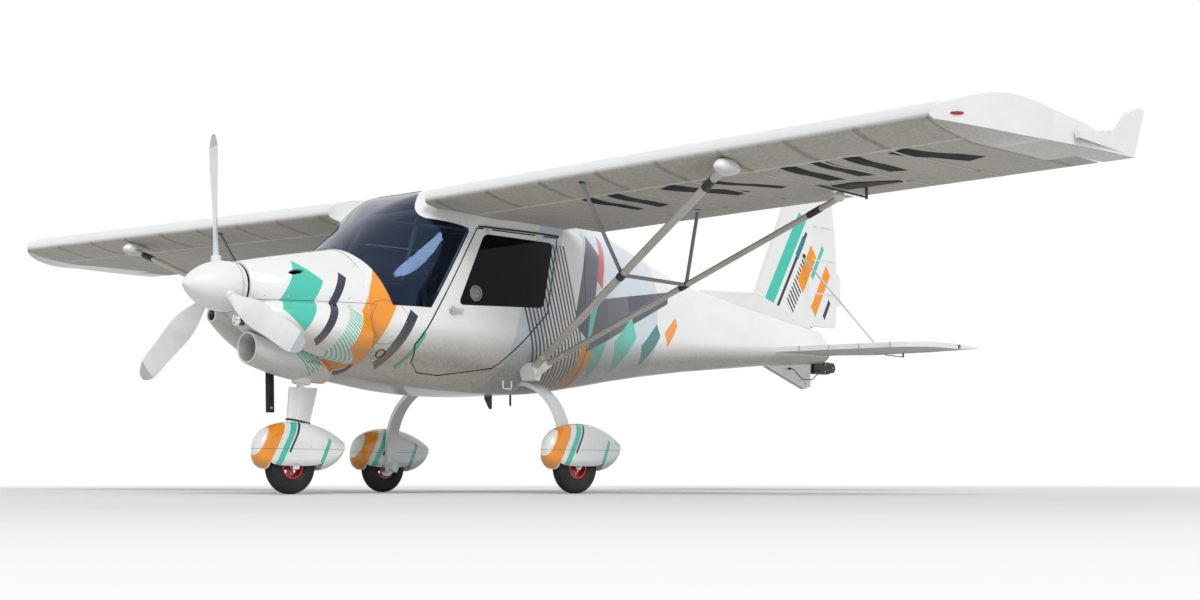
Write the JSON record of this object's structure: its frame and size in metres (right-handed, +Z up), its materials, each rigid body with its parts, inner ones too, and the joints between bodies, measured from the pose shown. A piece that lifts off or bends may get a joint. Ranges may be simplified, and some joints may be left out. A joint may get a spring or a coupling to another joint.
{
  "type": "microlight aircraft",
  "caption": "High-wing strut-braced two-seat microlight aircraft with tricycle gear, wheel spats, gull-wing doors and winglets; control surfaces, doors, wheels and propeller move.",
  "frame": {"origin": "on the ground, under the middle of the overall length and on the plane of symmetry", "axes": "+X aft, from the spinner to the tail; +Y to the pilot's right; +Z up"},
  "size_m": [6.2, 8.71, 2.34],
  "materials": {
    "white_shell": "gloss white moulding",
    "wing_covering": "smooth white polyester covering",
    "smoked_glass": "blue-grey smoked",
    "engine_casing": "dark cast",
    "exhaust_steel": "heat-stained",
    "white_paint": "gloss",
    "blade_composite": "gloss",
    "bare_aluminium": "satin",
    "strut_paint": "gloss",
    "jury_paint": "satin",
    "tyre_rubber": "matte",
    "red_rim": "gloss",
    "black_metal": "satin",
    "black_plastic": "matte",
    "seat_fabric": "woven",
    "frame_tube": "satin",
    "lamp_glass": "clear",
    "cooler_core": "matte black",
    "cable_sheath": "satin"
  },
  "bodies": {
    "airframe": {"cabin_shell": "white_shell", "windscreen": "smoked_glass", "skylight": "smoked_glass", "aft_fuselage": "white_shell", "dorsal_ridge": "white_shell", "ventral_fin": "white_shell", "cowl_upper": "white_shell", "cowl_lower": "white_shell", "engine_block": "engine_casing", "exhaust_pipe": "exhaust_steel", "nose_leg_socket": "white_paint", "wing_right": "wing_covering", "wing_left": "wing_covering", "wing_tips": "white_shell", "wing_hinges": "bare_aluminium", "lift_struts": "strut_paint", "jury_struts": "jury_paint", "strut_fittings": "white_shell", "main_legs": "white_paint", "main_spats": "white_shell", "stabilisers": "wing_covering", "tail_braces": "bare_aluminium", "fin": "wing_covering", "tail_hinges": "black_metal", "tow_release": "black_metal", "belly_aerials": "black_plastic", "instrument_panel": "black_plastic", "seat_base": "black_plastic", "seats": "seat_fabric", "control_stick": "black_plastic", "overhead_frame": "frame_tube", "oil_cooler": "cooler_core", "tie_down_loops": "white_paint", "door_hinges": "bare_aluminium", "landing_light": "lamp_glass", "release_cable": "cable_sheath"},
    "propeller": {"spinner": "white_shell", "propeller_blades": "blade_composite"},
    "door_left": {"door_left": "white_shell", "door_window_left": "smoked_glass", "door_fittings_left": "bare_aluminium"},
    "door_right": {"door_right": "white_shell", "door_window_right": "smoked_glass", "door_fittings_right": "bare_aluminium"},
    "flap_left": {"flap_left": "wing_covering"},
    "flap_right": {"flap_right": "wing_covering"},
    "aileron_left": {"aileron_left": "wing_covering"},
    "aileron_right": {"aileron_right": "wing_covering"},
    "elevator": {"elevator": "wing_covering"},
    "rudder": {"rudder": "wing_covering"},
    "main_wheel_left": {"main_tyre_left": "tyre_rubber", "main_rim_left": "red_rim"},
    "main_wheel_right": {"main_tyre_right": "tyre_rubber", "main_rim_right": "red_rim"},
    "nose_leg": {"nose_leg": "white_paint", "nose_spat": "white_shell"},
    "nose_wheel": {"nose_tyre": "tyre_rubber", "nose_rim": "red_rim"}
  },
  "joints": [
    {"name": "propeller_spin", "type": "hinge", "parent": "airframe", "child": "propeller", "pos_m": [-2.75, 0, 1.176], "axis": [1, 0, 0], "continuous": true},
    {"name": "main_wheel_left_spin", "type": "hinge", "parent": "airframe", "child": "main_wheel_left", "pos_m": [-0.86, -0.885, 0.165], "axis": [0, 1, 0], "continuous": true},
    {"name": "main_wheel_right_spin", "type": "hinge", "parent": "airframe", "child": "main_wheel_right", "pos_m": [-0.86, 0.885, 0.165], "axis": [0, 1, 0], "continuous": true},
    {"name": "nose_steer", "type": "hinge", "parent": "airframe", "child": "nose_leg", "pos_m": [-2.299, 0, 0.36], "axis": [0.1552, 0, 0.9879], "range_deg": [-20, 20]},
    {"name": "nose_wheel_spin", "type": "hinge", "parent": "nose_leg", "child": "nose_wheel", "pos_m": [-2.325, 0, 0.165], "axis": [0, 1, 0], "continuous": true},
    {"name": "rudder_hinge", "type": "hinge", "parent": "airframe", "child": "rudder", "pos_m": [2.7, 0, 1.5], "axis": [0, 0, 1], "range_deg": [-25, 25]},
    {"name": "elevator_hinge", "type": "hinge", "parent": "airframe", "child": "elevator", "pos_m": [2.738, 0, 1.045], "axis": [0, 1, 0], "range_deg": [-25, 20]},
    {"name": "flap_left_hinge", "type": "hinge", "parent": "airframe", "child": "flap_left", "pos_m": [-0.585, -1.6, 1.70394], "axis": [0, 0.9998, -0.0175], "range_deg": [0, 40]},
    {"name": "flap_right_hinge", "type": "hinge", "parent": "airframe", "child": "flap_right", "pos_m": [-0.585, 1.6, 1.70394], "axis": [0, 0.9998, 0.0175], "range_deg": [0, 40]},
    {"name": "aileron_left_hinge", "type": "hinge", "parent": "airframe", "child": "aileron_left", "pos_m": [-0.585, -3.4, 1.73536], "axis": [0, 0.9998, -0.0175], "range_deg": [-18, 18]},
    {"name": "aileron_right_hinge", "type": "hinge", "parent": "airframe", "child": "aileron_right", "pos_m": [-0.585, 3.4, 1.73536], "axis": [0, 0.9998, 0.0175], "range_deg": [-18, 18]},
    {"name": "door_left_hinge", "type": "hinge", "parent": "airframe", "child": "door_left", "pos_m": [-1.1, -0.585, 1.596], "axis": [-1, 0, 0], "range_deg": [0, 80]},
    {"name": "door_right_hinge", "type": "hinge", "parent": "airframe", "child": "door_right", "pos_m": [-1.1, 0.585, 1.596], "axis": [1, 0, 0], "range_deg": [0, 80]}
  ],
  "couplings": [
    {"joint": "rudder_hinge", "follows": "nose_steer", "ratio": -1.2},
    {"joint": "flap_right_hinge", "follows": "flap_left_hinge", "ratio": 1},
    {"joint": "aileron_right_hinge", "follows": "aileron_left_hinge", "ratio": -1}
  ]
}
